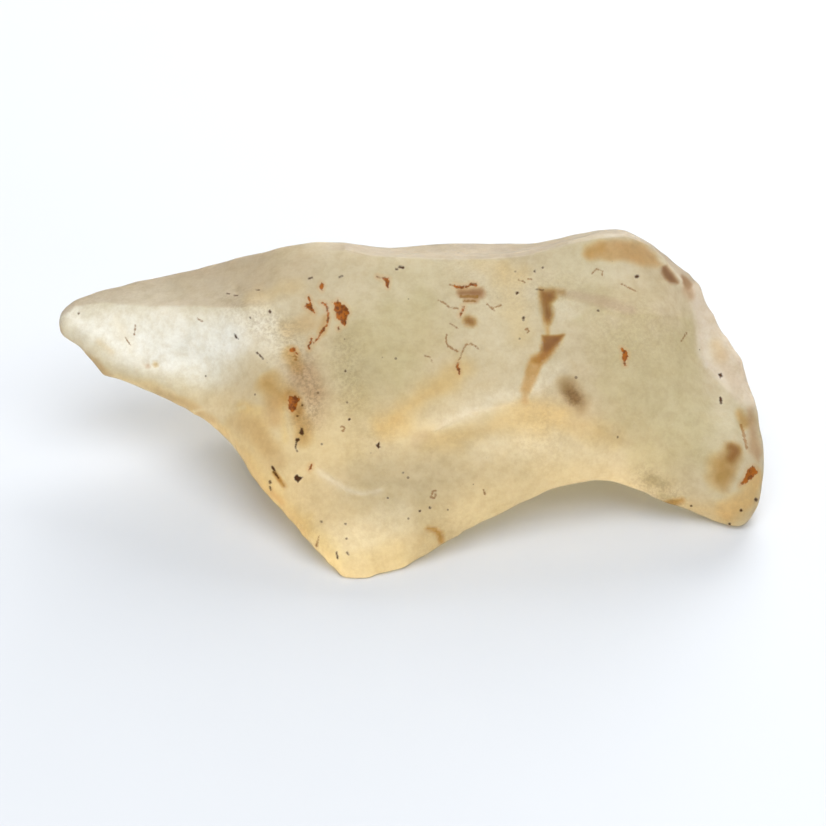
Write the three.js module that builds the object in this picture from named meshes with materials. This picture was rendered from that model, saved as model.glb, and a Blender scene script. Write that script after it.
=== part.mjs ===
// A raw piece of Libyan desert glass: a splinter of pale yellow natural glass, worn smooth by sand.
// Millimetres, +Z up. It rests on the table at z = 0, its nose points to -X and its broad face to -Y.
import * as THREE from "three";

// Driving sizes.
const LENGTH = 42; // nose to tail
const CELL = 0.76; // side of a cell of the grid that the surface is drawn from
const END_ROUND = 1.1; // radius to which the nose and the tail are worn
const COLOUR = 0xd9cc9f; // pale straw yellow
const ROUGHNESS = 0.55; // a frosted, sand-blasted surface

// The lower edge of the front face, from the nose to the tail: it arches up between its two feet.
const TOE = [
  [-20.2, 6.3, 6.9],
  [-19.0, 4.9, 6.5],
  [-18.2, 4.5, 5.5],
  [-17.2, 4.4, 5.35],
  [-15.0, 3.7, 4.9],
  [-13.4, 2.9, 4.4],
  [-12.0, 2.3, 4.2],
  [-10.4, 0.5, 3.75],
  [-8.5, -2.5, 2.85],
  [-6.7, -4.8, 1.85],
  [-4.6, -7.3, 1.0],
  [-3.2, -8.5, 0.0],
  [-1.9, -8.3, 0.0],
  [0.4, -7.3, 0.6],
  [2.8, -6.0, 1.3],
  [5.1, -4.6, 1.9],
  [7.5, -3.6, 2.65],
  [9.9, -2.8, 3.0],
  [12.0, -2.4, 2.9],
  [13.8, -2.5, 2.3],
  [15.6, -2.9, 1.6],
  [17.4, -3.1, 0.8],
  [19.0, -3.5, 0.1],
  [20.2, -3.3, 0.5],
  [21.0, -2.0, 1.2],
];

// The underside of that edge is blunt: its own ridge runs this far behind and below the toe.
const SOLE_BEHIND = 1.5;
const SOLE_BELOW = 0.9;

// The splinter's ridge lines. At every x its section is a polygon with one corner on each of them.
// round is how far from the corner the ridge is worn away.
const RIDGES = {
  toe: { round: 1.3, points: TOE },
  flank: {
    // the soft break across the front face
    round: 4.0,
    points: [
      [-20.2, 6.1, 7.4],
      [-18.5, 5.4, 7.2],
      [-15.0, 4.8, 6.9],
      [-12.0, 3.6, 6.7],
      [-10.0, 1.8, 6.6],
      [-8.0, 0.3, 6.6],
      [-5.0, -0.8, 6.9],
      [-1.0, -1.0, 7.2],
      [3.0, -0.8, 7.3],
      [7.0, 0.0, 7.4],
      [11.0, 0.2, 7.6],
      [15.0, -0.4, 6.6],
      [18.0, -1.7, 4.4],
      [20.0, -2.6, 3.0],
      [21.0, -2.4, 2.2],
    ],
  },
  brow: {
    // the crest of the front face
    round: 1.1,
    points: [
      [-20.2, 6.8, 8.0],
      [-19.3, 7.2, 8.0],
      [-16.2, 6.4, 9.0],
      [-12.8, 5.5, 9.5],
      [-10.4, 5.0, 9.9],
      [-7.7, 5.8, 11.1],
      [-5.3, 7.5, 12.1],
      [-2.0, 7.3, 11.9],
      [1.0, 7.2, 11.7],
      [4.0, 7.1, 11.8],
      [7.7, 7.3, 12.2],
      [10.7, 7.5, 12.9],
      [12.8, 7.6, 13.2],
      [14.3, 6.9, 12.2],
      [15.5, 6.4, 10.9],
      [16.5, 4.9, 8.9],
      [17.5, 2.8, 6.7],
      [18.2, 2.0, 6.0],
      [19.5, 1.1, 5.5],
      [20.8, -0.6, 4.4],
    ],
  },
  back: {
    // the edge between the top and the back
    round: 1.9,
    points: [
      [-20.2, 8.0, 8.15],
      [-19.3, 9.0, 8.3],
      [-16.2, 9.8, 9.0],
      [-13.1, 10.1, 9.4],
      [-10.0, 10.2, 10.25],
      [-6.9, 9.8, 11.5],
      [-3.9, 10.1, 11.2],
      [-0.8, 10.8, 10.6],
      [2.3, 11.3, 10.4],
      [5.4, 11.3, 10.5],
      [8.4, 11.0, 10.9],
      [10.9, 10.8, 11.5],
      [13.0, 10.3, 12.0],
      [15.0, 9.1, 11.5],
      [16.9, 8.5, 10.4],
      [17.8, 7.8, 9.6],
      [18.8, 6.4, 8.4],
      [19.9, 5.0, 7.3],
      [20.8, 3.4, 6.0],
    ],
  },
  rump: {
    // the soft break across the back
    round: 4.0,
    points: [
      [-20.2, 8.9, 7.6],
      [-18.0, 10.0, 7.2],
      [-14.0, 10.9, 6.8],
      [-9.0, 11.3, 6.2],
      [-4.0, 11.2, 6.0],
      [1.0, 12.0, 6.2],
      [6.0, 12.2, 6.4],
      [11.0, 11.4, 6.6],
      [15.0, 9.9, 6.4],
      [18.0, 7.6, 5.4],
      [20.2, 4.4, 4.0],
      [21.0, 2.0, 3.2],
    ],
  },
  heel: {
    // the lower edge of the back, on which the piece rests
    round: 2.0,
    points: [
      [-20.2, 8.8, 6.8],
      [-18.0, 8.8, 5.7],
      [-14.0, 9.0, 4.2],
      [-9.0, 8.8, 2.0],
      [-5.0, 8.2, 0.4],
      [-1.5, 8.4, -0.5],
      [3.5, 8.8, 0.0],
      [8.0, 8.3, -0.5],
      [12.5, 7.3, 0.6],
      [17.0, 4.8, 1.4],
      [21.0, 1.2, 1.9],
    ],
  },
  keel: {
    // the hollow underside
    round: 2.4,
    points: [
      [-20.2, 8.2, 6.1],
      [-18.0, 7.4, 5.0],
      [-14.0, 6.6, 3.2],
      [-9.0, 4.6, 1.5],
      [-5.0, 1.8, 0.9],
      [0.0, 2.2, 1.2],
      [6.0, 3.6, 1.3],
      [11.0, 3.2, 1.3],
      [15.0, 2.4, 1.0],
      [18.5, 1.0, 0.8],
      [21.0, -0.4, 1.2],
    ],
  },
  sole: { round: 1.2, points: TOE.map(([x, y, z]) => [x, y + SOLE_BEHIND, z - SOLE_BELOW]) },
};

// Where the nose and the tail end.
const NOSE_X = -21.1;
const TAIL_X = 21.2;

// Worn hollows (depth above 0) and swellings (below 0), each along a line and fading out at its reach.
const worn = (name, depth, reach, ...line) => ({ name, depth, reach, line });
const FRONT_RELIEF = [
  worn("hollow under the nose's upper edge", 0.4, 3.2, [-16.8, 5.2, 7.3], [-11.8, 3.8, 7.5]),
  worn("upper fold beside the nose", -0.35, 2.4, [-8.8, 4.0, 9.6], [-8.0, 2.1, 8.2], [-7.8, 0.3, 6.6]),
  worn("lower fold beside the nose", -0.2, 2.2, [-7.9, -0.4, 5.7], [-8.7, -1.4, 3.9]),
  worn("trough", 0.5, 2.8, [3.2, 0.5, 8.2], [1.2, -0.8, 7.4], [-0.8, -1.9, 6.4]),
  worn("upper chip", 0.3, 1.7, [9.2, 3.4, 10.2], [10.2, 3.6, 10.2]),
  worn("middle chip", 0.35, 2.2, [8.0, 0.4, 7.6], [8.4, 0.9, 8.1]),
  worn("groove above the lower swelling", 0.3, 1.8, [2.1, -1.9, 6.4], [6.4, -0.7, 6.8], [10.2, -0.4, 6.9]),
  worn("lower swelling", -0.5, 3.6, [-0.5, -5.1, 3.4], [4.4, -3.2, 4.5], [9.0, -2.0, 4.7]),
  worn("chip above the front foot", 0.4, 2.0, [-3.3, -3.8, 4.8], [-2.4, -3.9, 4.6]),
  worn("hollow below the high crest", 0.35, 1.9, [10.0, 5.5, 11.7], [13.2, 5.1, 11.5]),
  worn("ledge below that hollow", -0.28, 1.2, [3.0, 5.6, 11.2], [8.0, 4.8, 11.0], [12.9, 3.6, 10.4]),
  worn("end of that ledge", -0.28, 1.2, [13.2, 3.8, 10.3], [15.6, 4.4, 9.6]),
  worn("hollow beside the foot's arch", 0.3, 2.2, [13.4, -2.2, 4.2], [15.4, -2.4, 3.0]),
  worn("swelling of the tail", -0.3, 2.4, [17.2, -0.8, 5.3], [19.2, -1.6, 4.0]),
  worn("dent in the tail", 0.3, 1.3, [18.2, 1.1, 5.6], [18.6, 0.9, 5.5]),
  worn("notch in the tail's edge", 0.4, 1.3, [20.5, 0.4, 5.0], [20.8, 0.2, 4.8]),
  worn("nick in the nose's lower edge", 0.25, 0.8, [-17.6, 4.5, 5.3], [-17.3, 4.4, 5.2]),
  worn("nick further along it", 0.2, 1.1, [-15.6, 3.9, 4.9], [-15.2, 3.8, 4.8]),
];
const TOP_RELIEF = [
  worn("strip behind the crest", 0.4, 1.6, [-0.3, 9.2, 11.4], [3.3, 9.4, 11.3], [10.4, 9.2, 12.2]),
  worn("the same strip down the tail", 0.3, 1.8, [17.6, 6.5, 9.2], [18.8, 4.6, 7.6], [19.9, 2.9, 6.2]),
  worn("hollow of the nose's upper face", 0.3, 2.8, [-16.5, 8.1, 9.0], [-9.5, 7.2, 10.6]),
];
const BACK_RELIEF = [
  worn("broad shell-shaped hollow", 0.7, 4.2, [-6.0, 11.4, 6.5], [1.0, 12.0, 5.4]),
  worn("smaller one beside it", 0.5, 3.2, [9.5, 11.2, 8.0], [11.5, 10.8, 6.6]),
  worn("rib between the two", -0.35, 2.2, [4.6, 12.0, 8.6], [6.2, 12.0, 3.4]),
  worn("hollow behind the nose", 0.35, 2.6, [-14.5, 10.7, 7.1], [-12.5, 10.8, 6.7]),
  worn("hollow behind the tail", 0.35, 2.2, [16.5, 7.6, 5.2], [18.0, 6.4, 4.8]),
];
const UNDERSIDE_RELIEF = [
  worn("hollow under the nose", 0.35, 2.6, [-12.0, 5.2, 2.4], [-9.5, 4.4, 1.6]),
  worn("hollow between the feet", 0.5, 3.6, [-1.0, 1.6, 1.0], [4.0, 2.8, 1.2]),
  worn("hollow under the tail", 0.4, 2.6, [11.0, 3.0, 1.3], [13.5, 2.6, 1.1]),
];
const RELIEF = [...FRONT_RELIEF, ...TOP_RELIEF, ...BACK_RELIEF, ...UNDERSIDE_RELIEF];

// Low waves over the whole surface: each runs along a direction, in steps of its length.
const WAVES = [
  { direction: new THREE.Vector3(0.8, 0.3, 0.5).normalize(), length: 6.1, height: 0.07 },
  { direction: new THREE.Vector3(-0.4, 0.7, 0.6).normalize(), length: 4.7, height: 0.06 },
  { direction: new THREE.Vector3(0.5, -0.6, 0.6).normalize(), length: 3.6, height: 0.05 },
];

// The value of a ridge line at x: a smooth curve through its points.
function onRidge(points, x, axis) {
  const last = points.length - 1;
  if (x <= points[0][0]) return points[0][axis];
  if (x >= points[last][0]) return points[last][axis];
  let i = 0;
  while (x > points[i + 1][0]) i++;
  const slope = (k) => {
    const [a, b] = [points[Math.max(k - 1, 0)], points[Math.min(k + 1, last)]];
    return (b[axis] - a[axis]) / (b[0] - a[0]);
  };
  const [p, q] = [points[i], points[i + 1]];
  const step = q[0] - p[0];
  const t = (x - p[0]) / step;
  const [t2, t3] = [t * t, t * t * t];
  return (
    (2 * t3 - 3 * t2 + 1) * p[axis] +
    (t3 - 2 * t2 + t) * step * slope(i) +
    (3 * t2 - 2 * t3) * q[axis] +
    (t3 - t2) * step * slope(i + 1)
  );
}

// Where the rounding of corner i starts and ends, on the sides beside it.
const MOST_OF_A_SIDE = 0.45;
function roundingEnds(corners, i, round) {
  const at = corners[i];
  return [corners.at(i - 1), corners[(i + 1) % corners.length]].map((next) =>
    at.clone().lerp(next, Math.min(round / at.distanceTo(next), MOST_OF_A_SIDE)),
  );
}

// The section at x: a closed outline of [y, z] points with its corners rounded.
const ROUNDING_STEPS = 4;
function sectionAt(x) {
  const corners = Object.values(RIDGES).map(({ round, points }) => ({
    round,
    at: new THREE.Vector2(onRidge(points, x, 1), onRidge(points, x, 2)),
  }));
  const places = corners.map(({ at }) => at);
  // Each corner moves out first by what its rounding takes away, so that the worn ridge is on its line:
  // a quadratic curve passes half way between its corner and the middle of its ends.
  const sharp = corners.map(({ round, at }, i) => {
    const [start, end] = roundingEnds(places, i, round);
    const middle = start.add(end).divideScalar(2);
    return at.clone().add(at.clone().sub(middle).divideScalar(2));
  });
  return corners.flatMap(({ round }, i) => {
    const [start, end] = roundingEnds(sharp, i, round);
    return new THREE.QuadraticBezierCurve(start, sharp[i], end).getPoints(ROUNDING_STEPS);
  });
}

// The distance from (y, z) to a closed outline, below 0 inside it.
function distanceToOutline(outline, y, z) {
  let nearest = Infinity;
  let inside = false;
  outline.forEach((a, i) => {
    const b = outline[(i + 1) % outline.length];
    const [ex, ey] = [b.x - a.x, b.y - a.y];
    const [wx, wy] = [y - a.x, z - a.y];
    const along = THREE.MathUtils.clamp((wx * ex + wy * ey) / (ex * ex + ey * ey || 1), 0, 1);
    nearest = Math.min(nearest, (wx - along * ex) ** 2 + (wy - along * ey) ** 2);
    if (a.y > z !== b.y > z && y < a.x + ((z - a.y) * ex) / ey) inside = !inside;
  });
  return (inside ? -1 : 1) * Math.sqrt(nearest);
}

// What lies inside both a and b, with a rounded edge where they meet.
function roundedMeet(a, b, radius) {
  const [over, beside] = [a + radius, b + radius];
  const outside = Math.hypot(Math.max(over, 0), Math.max(beside, 0));
  return outside + Math.min(Math.max(over, beside), 0) - radius;
}

// How much of a hollow's or swelling's depth acts at a point, from 0 to 1.
const segment = new THREE.Line3();
const nearestOnLine = new THREE.Vector3();
function reliefShare({ line, reach }, point) {
  let away = 1;
  for (let i = 1; i < line.length; i++) {
    segment.start.fromArray(line[i - 1]);
    segment.end.fromArray(line[i]);
    segment.closestPointToPoint(point, true, nearestOnLine);
    away = Math.min(away, nearestOnLine.distanceTo(point) / reach);
  }
  return (1 - away * away) ** 2;
}

// The glass: below 0 inside it, above 0 outside, and close to a distance near its surface.
const sections = new Map();
function glassAt(point) {
  if (!sections.has(point.x)) sections.set(point.x, sectionAt(point.x));
  const outline = sections.get(point.x);
  let value = distanceToOutline(outline, point.y, point.z);
  value = roundedMeet(value, NOSE_X - point.x, END_ROUND);
  value = roundedMeet(value, point.x - TAIL_X, END_ROUND);
  for (const feature of RELIEF) value += feature.depth * reliefShare(feature, point);
  for (const { direction, length, height } of WAVES)
    value += height * Math.sin((2 * Math.PI * direction.dot(point)) / length);
  return value;
}

// Moves a point onto the glass's surface, or some of the way where that is far.
const PROBE = 0.2;
const FARTHEST_MOVE = 0.25;
function settle(point) {
  const gradient = new THREE.Vector3();
  for (const axis of ["x", "y", "z"]) {
    const [ahead, behind] = [point.clone(), point.clone()];
    ahead[axis] += PROBE;
    behind[axis] -= PROBE;
    gradient[axis] = (glassAt(ahead) - glassAt(behind)) / (2 * PROBE);
  }
  const slope = gradient.length() || 1;
  const move = THREE.MathUtils.clamp(-glassAt(point) / slope, -FARTHEST_MOVE, FARTHEST_MOVE);
  point.addScaledVector(gradient.divideScalar(slope), move);
}

// The surface as a net: a vertex in each grid cell that it passes through, a quad across each grid edge.
function surfaceNet(low, counts, cell) {
  const [nx, ny, nz] = counts;
  const cornerIndex = (i, j, k) => (k * ny + j) * nx + i;
  const values = new Float32Array(nx * ny * nz);
  const point = new THREE.Vector3();
  for (let i = 0; i < nx; i++)
    for (let j = 0; j < ny; j++)
      for (let k = 0; k < nz; k++)
        values[cornerIndex(i, j, k)] = glassAt(point.set(i, j, k).multiplyScalar(cell).add(low));

  const steps = [[1, 0, 0], [0, 1, 0], [0, 0, 1]];
  const cellCorners = [];
  for (let n = 0; n < 8; n++) cellCorners.push([n & 1, (n >> 1) & 1, n >> 2]);
  const vertices = [];
  const vertexOf = new Map();
  for (let i = 0; i < nx - 1; i++)
    for (let j = 0; j < ny - 1; j++)
      for (let k = 0; k < nz - 1; k++) {
        const sum = new THREE.Vector3();
        let crossings = 0;
        for (const [a, b, c] of cellCorners) {
          const here = values[cornerIndex(i + a, j + b, k + c)];
          steps.forEach(([di, dj, dk]) => {
            if (a + di > 1 || b + dj > 1 || c + dk > 1) return;
            const there = values[cornerIndex(i + a + di, j + b + dj, k + c + dk)];
            if (here < 0 === there < 0) return;
            const t = here / (here - there);
            sum.add(point.set(i + a + t * di, j + b + t * dj, k + c + t * dk));
            crossings++;
          });
        }
        if (!crossings) continue;
        vertexOf.set(cornerIndex(i, j, k), vertices.length);
        vertices.push(sum.divideScalar(crossings).multiplyScalar(cell).add(low));
      }

  const quads = [];
  for (let i = 1; i < nx - 1; i++)
    for (let j = 1; j < ny - 1; j++)
      for (let k = 1; k < nz - 1; k++)
        steps.forEach(([di, dj, dk], axis) => {
          const here = values[cornerIndex(i, j, k)] < 0;
          if (here === values[cornerIndex(i + di, j + dj, k + dk)] < 0) return;
          const [u, v] = [steps[(axis + 1) % 3], steps[(axis + 2) % 3]];
          const around = [[0, 0], [1, 0], [1, 1], [0, 1]].map(([s, t]) => {
            const [a, b, c] = [0, 1, 2].map((n) => s * u[n] + t * v[n]);
            return vertexOf.get(cornerIndex(i - a, j - b, k - c));
          });
          quads.push(here ? around : around.reverse());
        });
  return { vertices, quads };
}

// Evens out the net and keeps it on the surface, and at the end wears its edges down.
const EVENING_PASSES = 4;
const WEARING_PASSES = 3;
const MOVED_EACH_PASS = 0.5; // of the way to the middle of a vertex's neighbours
function evenOut({ vertices, quads }) {
  for (let pass = 0; pass < EVENING_PASSES + WEARING_PASSES; pass++) {
    const sums = vertices.map(() => ({ sum: new THREE.Vector3(), count: 0 }));
    for (const quad of quads)
      quad.forEach((v, n) => {
        for (const other of [quad[(n + 1) % 4], quad[(n + 3) % 4]]) {
          sums[v].sum.add(vertices[other]);
          sums[v].count++;
        }
      });
    vertices.forEach((vertex, v) => {
      const { sum, count } = sums[v];
      vertex.lerp(sum.divideScalar(count), MOVED_EACH_PASS);
    });
    if (pass < EVENING_PASSES) vertices.forEach(settle);
  }
}

// Two triangles for each quad, split along its shorter diagonal.
function trianglesOf({ vertices, quads }) {
  return quads.flatMap(([a, b, c, d]) =>
    vertices[a].distanceTo(vertices[c]) < vertices[b].distanceTo(vertices[d])
      ? [a, b, c, a, c, d]
      : [a, b, d, b, c, d],
  );
}

// The space that the grid fills: around the ridge lines, with room for what lies outside them.
const ROOM_AROUND = 2.4;
function gridSpace() {
  const box = new THREE.Box3();
  for (const { points } of Object.values(RIDGES))
    for (const point of points) box.expandByPoint(new THREE.Vector3(...point));
  return box.expandByScalar(ROOM_AROUND);
}

function buildGlass() {
  const space = gridSpace();
  const counts = space.getSize(new THREE.Vector3()).divideScalar(CELL).ceil().toArray();
  const net = surfaceNet(space.min, counts, CELL);
  evenOut(net);
  // What would reach under the table is flat on it.
  for (const vertex of net.vertices) vertex.z = Math.max(vertex.z, 0);
  const geometry = new THREE.BufferGeometry().setFromPoints(net.vertices);
  geometry.setIndex(trianglesOf(net));
  // The origin is under the middle of the piece.
  geometry.computeBoundingBox();
  const middle = geometry.boundingBox.getCenter(new THREE.Vector3());
  geometry.translate(-middle.x, -middle.y, 0);
  const scale = LENGTH / (geometry.boundingBox.max.x - geometry.boundingBox.min.x);
  geometry.scale(scale, scale, scale);
  geometry.computeVertexNormals();
  return geometry;
}

const glass = new THREE.Mesh(
  buildGlass(),
  new THREE.MeshStandardMaterial({ color: COLOUR, roughness: ROUGHNESS, metalness: 0 }),
);
glass.name = "desert_glass";

const piece = new THREE.Group();
piece.add(glass);

export default piece;
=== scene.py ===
"""Raw Libyan desert glass: a wind-worn splinter of frosted, pale yellow natural glass on a white table.

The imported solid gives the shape. This script smooths it and refines it where it is marked. It works
ridges, chips, pits, cracks and sand wear into the mesh, and gives it a see-through, frosted material with
rust in its pits.
"""

import math

import bpy
import numpy as np
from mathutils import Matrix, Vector
from mathutils.bvhtree import BVHTree


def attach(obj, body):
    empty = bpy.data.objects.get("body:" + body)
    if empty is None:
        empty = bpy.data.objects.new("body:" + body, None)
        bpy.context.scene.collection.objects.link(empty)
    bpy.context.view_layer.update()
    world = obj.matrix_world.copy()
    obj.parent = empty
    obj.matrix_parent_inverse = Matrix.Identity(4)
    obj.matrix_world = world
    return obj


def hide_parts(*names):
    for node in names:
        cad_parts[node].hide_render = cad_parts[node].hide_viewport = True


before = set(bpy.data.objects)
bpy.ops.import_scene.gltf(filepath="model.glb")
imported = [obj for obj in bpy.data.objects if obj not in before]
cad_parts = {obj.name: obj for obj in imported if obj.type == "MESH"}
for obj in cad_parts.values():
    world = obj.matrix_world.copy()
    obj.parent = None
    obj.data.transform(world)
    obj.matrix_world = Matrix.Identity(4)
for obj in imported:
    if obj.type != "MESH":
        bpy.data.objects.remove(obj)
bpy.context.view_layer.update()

MM = 0.001
TINY = 1e-20  # keeps a length from being 0

# The photograph's frame and the camera that took it.
PHOTO_SIDE = 826
SENSOR = 36.0
LENS = 131.7
FOCAL_PIXELS = LENS / SENSOR * PHOTO_SIDE
CAMERA_ELEVATION = math.radians(35)
CAMERA_DISTANCE = 178.24 * MM
CAMERA_CLIP = (1 * MM, 10)
CAMERA_TARGET = np.array((0.312, -1.054, 5.079)) * MM
TOWARDS_CAMERA = np.array((0, -math.cos(CAMERA_ELEVATION), math.sin(CAMERA_ELEVATION)))
CAMERA_UP = np.array((0, math.sin(CAMERA_ELEVATION), math.cos(CAMERA_ELEVATION)))
CAMERA = CAMERA_TARGET + TOWARDS_CAMERA * CAMERA_DISTANCE
PIXEL = CAMERA_DISTANCE / FOCAL_PIXELS  # its size at the glass

# The surface: how close vertices are made one, steps of smoothing, and how much of their shrinking is
# undone.
WELD = 0.001 * MM
SKIN_LOOPS = 2
SHRINK_REPAIR = 0.8

# It is refined where it is marked: steps, the longest edge there and elsewhere, the margin around marks
# in pixels, and the width of the strip along crisp edges.
REFINE_STEPS = 2
MARK_EDGE = 0.10 * MM
PLAIN_EDGE = 1.0
REFINE_MARGIN = 3
CRISP_WIDTH = 2.0

# Everything below is placed as the photograph's camera sees it, in pixels of the photograph.
# A line is (width, points), and an outline is its points. Depths of relief are in millimetres.

# Rust that fills open pits.
RUST_OUTLINES = [
    [
        (332, 303), (335.5, 302), (338, 299), (340, 302), (343, 304), (347, 307), (349.5, 313),
        (347, 317), (346.5, 322), (345, 326), (342, 325), (340.5, 321), (336.5, 318), (336.5, 313),
        (334, 310), (334.5, 305.5),
    ],
    [
        (304, 306.5), (307, 303.5), (310.5, 304), (313.5, 308.5), (314.5, 313), (310.5, 311),
        (307.5, 309),
    ],
    [(319, 287), (321.5, 282.5), (323.5, 284), (324, 287), (322, 291), (321, 289.5)],
    [(320, 302), (324.5, 302), (327, 303.5), (326.5, 306), (324, 305.5)],
    [(326.5, 325), (324.5, 330.5), (320.5, 334.5), (319.5, 333), (322.5, 328.5)],
    [
        (289, 349.5), (292.5, 347.5), (296, 348), (296.5, 351), (298.5, 353.5), (297.5, 354.5),
        (295, 352), (290.5, 352),
    ],
    [(382, 277), (389.5, 278.5), (389.5, 281.5), (388, 288), (386, 285.5), (385, 281.5)],
    [
        (289, 396), (295, 395), (300.5, 398.5), (297.5, 402.5), (296.5, 409), (292.5, 412.5),
        (288, 409), (288.5, 402.5),
    ],
    [
        (455.5, 365.5), (457.5, 362), (459, 362.5), (459, 367.5), (460.5, 371.5), (459, 375),
        (457.5, 370),
    ],
    [(309.5, 465), (312, 464), (311.5, 468.5), (309.5, 470.5), (308, 469)],
    [
        (620.5, 347.5), (623, 348), (628, 353), (628, 356.5), (626, 360), (626, 366), (624, 366),
        (623, 361), (621.5, 358.5), (622.5, 353),
    ],
    [
        (739.5, 485.5), (744.5, 478), (748, 469.5), (753, 465.5), (758, 472), (753.5, 477.5),
        (747.5, 482.5),
    ],
]
RUST_LINES = [
    (2.0, [(308.5, 297.5), (310, 301.5), (310.5, 304)]),
    (1.8, [(326.5, 306), (328.5, 313), (328, 319.5), (326.5, 326)]),
    (1.4, [(320, 335), (316.5, 340), (313.5, 342.5)]),
    (2.2, [(311.5, 338.5), (310.5, 342), (308.5, 346), (309, 348.5)]),
    (2.4, [(338.5, 328), (339, 329)]),
    (1.4, [(377, 276.5), (379.5, 278), (383, 278)]),
    (2.6, [(455, 286), (461, 287.5), (467, 286.5)]),
    (2.6, [(471, 284.5), (475.5, 285)]),
    (2.2, [(463.5, 306), (462.5, 310.5), (460, 315.5)]),
]

# Pits with dark dirt in them.
DIRT_OUTLINES = [
    [(300.5, 427), (302.5, 428), (304, 433.5), (302, 435.5), (299, 433.5)],
    [(295.5, 438.5), (299, 437.5), (300, 440), (297.5, 442.5), (295.5, 441)],
    [(294, 476.5), (297, 474.5), (299, 476.5), (303, 477), (300.5, 480), (298, 482.5), (294.5, 480)],
    [(379.5, 441), (380, 447), (378.5, 449), (376, 445)],
    [(234, 333), (236, 335), (238.5, 339.5), (235, 338.5)],
    [(718, 373.5), (721.5, 372.5), (723.5, 376.5), (720, 378.5)],
]
DIRT_LINES = [
    (1.6, [(296.5, 442.5), (295, 447), (297, 451.5)]),
    (2.4, [(272, 467), (274, 470.5)]),
    (2.2, [(273, 472), (277.5, 477.5)]),
    (2.3, [(269.5, 481.5), (270.5, 483)]),
    (2.0, [(270, 487), (270.5, 490)]),
    (2.0, [(257, 352.5), (263, 358.5)]),
    (1.5, [(227, 293.5), (229, 294)]),
    (1.7, [(234.5, 295), (237, 295)]),
    (1.6, [(256, 290), (259, 290)]),
    (2.3, [(396, 270), (397, 270)]),
    (2.2, [(399.5, 268), (403, 268.5)]),
    (1.6, [(339, 277), (342.5, 275.5)]),
    (1.5, [(309, 278.5), (312.5, 277.5)]),
    (1.8, [(347, 552), (348.5, 555)]),
    (1.9, [(336.5, 552.5), (337.5, 558.5)]),
    (1.6, [(536.5, 290), (543, 290.5)]),
    (2.8, [(720.5, 398), (721, 403)]),
]

# Dots of dirt: width, and where.
DIRT_DOTS = [
    (2.6, 270, 312), (2.0, 250.5, 318), (2.0, 79, 314.5), (2.6, 302, 405), (2.4, 297.5, 416),
    (2.6, 349.5, 419), (1.8, 347, 402.5), (2.4, 345.5, 371), (2.2, 321.5, 444), (2.2, 403, 472.5),
    (2.0, 388, 498), (2.4, 430, 507.5), (2.4, 420, 511), (2.2, 321.5, 521.5), (2.2, 345.5, 524),
    (2.2, 346.5, 538.5), (3.0, 523.5, 318), (3.4, 517, 293), (2.2, 519.5, 338.5), (2.6, 535, 271.5),
    (2.0, 543, 268), (2.0, 515, 272), (2.4, 598.5, 311.5), (4.2, 637, 276.5), (2.4, 617.5, 437),
    (3.6, 756, 499.5), (3.0, 741, 510.5), (2.8, 729.5, 524), (2.4, 691, 506),
]

# Fine cracks and scratches, brown in their depth.
CRACKS = [
    (1.5, [(450, 284.5), (455.5, 286.5), (460.5, 287.5), (467, 286.5), (472, 284), (476.5, 285.5)]),
    (2.6, [(461, 296.5), (477, 297)]),
    (1.5, [(464, 301), (475.5, 301)]),
    (1.5, [(438.5, 300.5), (444, 303), (449, 307), (455, 308.5), (458, 308.5)]),
    (1.5, [(487, 304.5), (492, 308.5), (494.5, 310.5)]),
    (1.5, [(492, 308.5), (500.5, 305)]),
    (1.2, [(450, 323.5), (454, 325.5), (458, 328.5)]),
    (1.7, [(446.5, 335), (446, 342), (448, 346), (453, 349), (457.5, 351)]),
    (1.6, [(465.5, 345), (470, 343.5), (474, 345), (478, 348.5)]),
    (1.2, [(465.5, 345.5), (462.5, 351), (460.5, 357.5), (458, 361)]),
    (1.2, [(425, 356), (430, 357), (432, 362)]),
    (1.2, [(519, 280), (525, 282.5)]),
    (1.2, [(528, 279), (531.5, 279.5)]),
    (1.2, [(592, 273.5), (596.5, 269), (602.5, 271), (602, 275.5)]),
    (1.2, [(621.5, 284), (636.5, 291.5)]),
    (1.1, [(686, 333), (681, 341)]),
    (1.1, [(135.5, 325), (134.5, 334.5)]),
    (1.1, [(125.5, 338), (130.5, 345.5)]),
    (1.1, [(198, 319), (203, 321.5)]),
    (1.2, [(483, 489), (485, 494)]),
    (1.3, [(340.5, 427), (342.5, 426), (344.5, 428), (343.5, 431), (341.5, 430.5)]),
    (1.3, [(293, 357), (295, 355.5), (297, 357.5), (296, 360), (294, 360)]),
    (1.2, [(525, 330), (527, 328.5), (529, 331), (527.5, 333)]),
    (1.7, [(432, 495), (433, 491.5), (436, 490.5)]),
    (1.7, [(431, 497), (435, 498), (436, 494.5)]),
    (1.6, [(319, 536.5), (316.5, 546)]),
    (2.6, [(741, 424.5), (744, 430), (745.5, 439), (747.5, 448)]),
]
MARKS = {
    "rust": RUST_OUTLINES + RUST_LINES,
    "dirt": DIRT_OUTLINES + DIRT_LINES + [(width, [(x, y)]) for width, x, y in DIRT_DOTS],
    "crack": CRACKS,
}

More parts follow.
